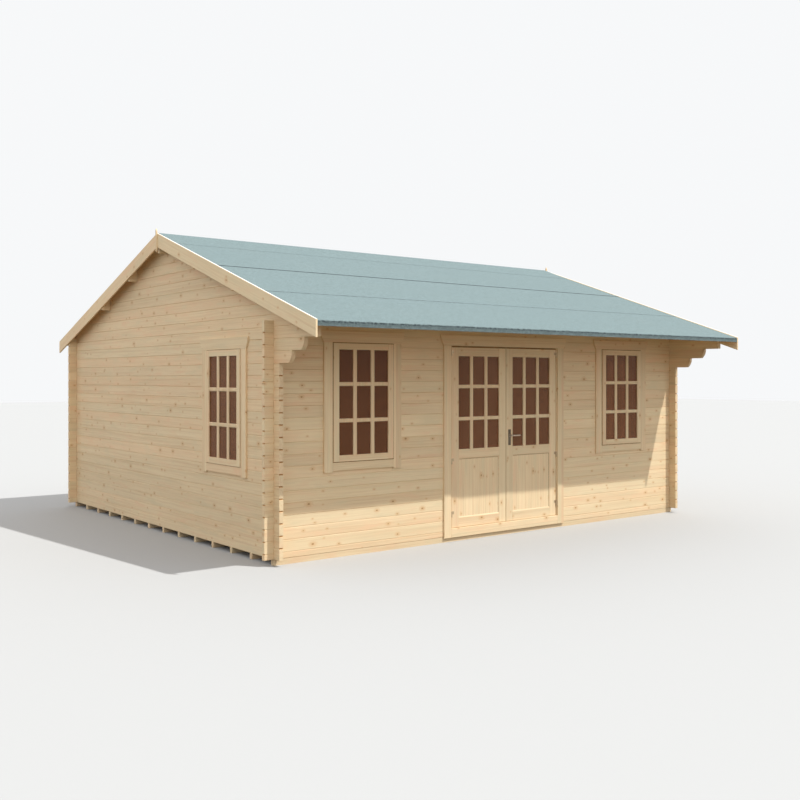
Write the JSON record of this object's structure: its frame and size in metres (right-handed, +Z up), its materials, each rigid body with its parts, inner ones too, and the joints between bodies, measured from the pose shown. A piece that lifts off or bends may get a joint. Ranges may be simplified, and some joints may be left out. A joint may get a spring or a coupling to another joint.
{
  "type": "log cabin",
  "caption": "Single-room timber log cabin with interlocked corner logs, a low felted gable roof, a deep bracketed front eave, glazed double doors and side windows.",
  "frame": {"origin": "on the ground under the middle of the ridge, at the centre of the roof's outline seen from above", "axes": "+X along the front wall to the right as seen from outside, +Y from the front wall to the rear wall, +Z up"},
  "size_m": [6.224, 6.512, 3.4077],
  "materials": {
    "log_timber": "planed untreated softwood",
    "roof_timber": "planed untreated softwood",
    "bearer_timber": "sawn softwood",
    "floor_timber": "planed untreated softwood",
    "board_timber": "planed untreated softwood",
    "frame_timber": "planed untreated softwood",
    "trim_timber": "planed untreated softwood",
    "door_timber": "planed untreated softwood",
    "roof_felt": "mineral-faced bitumen felt",
    "glazing": "clear float glass",
    "hinge_steel": "zinc plated",
    "handle_steel": "satin"
  },
  "bodies": {
    "cabin": {"front_wall_left": "log_timber", "front_wall_right": "log_timber", "front_wall_top": "log_timber", "front_sill_log": "log_timber", "rear_wall": "log_timber", "left_wall": "log_timber", "right_wall": "log_timber", "left_gable": "log_timber", "right_gable": "log_timber", "purlins": "roof_timber", "front_roof_boards": "roof_timber", "rear_roof_boards": "roof_timber", "floor_bearers": "bearer_timber", "floor": "floor_timber", "front_felt": "roof_felt", "rear_felt": "roof_felt", "eave_boards": "board_timber", "front_bargeboards": "board_timber", "rear_bargeboards": "board_timber", "gable_cover_strips": "board_timber", "door_frame": "frame_timber", "door_trim": "trim_timber", "hinge_pins": "hinge_steel", "front_left_window": "frame_timber", "front_left_window_trim": "trim_timber", "front_left_window_glass": "glazing", "front_right_window": "frame_timber", "front_right_window_trim": "trim_timber", "front_right_window_glass": "glazing", "left_window": "frame_timber", "left_window_trim": "trim_timber", "left_window_glass": "glazing", "right_window": "frame_timber", "right_window_trim": "trim_timber", "right_window_glass": "glazing"},
    "left_door": {"left_door_leaf": "door_timber", "left_door_glass": "glazing", "left_hinge_sleeves": "hinge_steel"},
    "right_door": {"right_door_leaf": "door_timber", "right_door_glass": "glazing", "right_hinge_sleeves": "hinge_steel", "handle_plates": "handle_steel"},
    "lever": {"lever_handle": "handle_steel"}
  },
  "joints": [
    {"name": "left_door_hinge", "type": "hinge", "parent": "cabin", "child": "left_door", "pos_m": [-0.806, -2.358, 1.1], "axis": [0, 0, -1], "range_deg": [0, 110]},
    {"name": "right_door_hinge", "type": "hinge", "parent": "cabin", "child": "right_door", "pos_m": [0.806, -2.358, 1.1], "axis": [0, 0, 1], "range_deg": [0, 110]},
    {"name": "lever_turn", "type": "hinge", "parent": "right_door", "child": "lever", "pos_m": [0.054, -2.33, 1.103], "axis": [0, 1, 0], "range_deg": [0, 40], "stiffness_Nm_per_rad": 1.5, "springref_deg": -22.92}
  ]
}
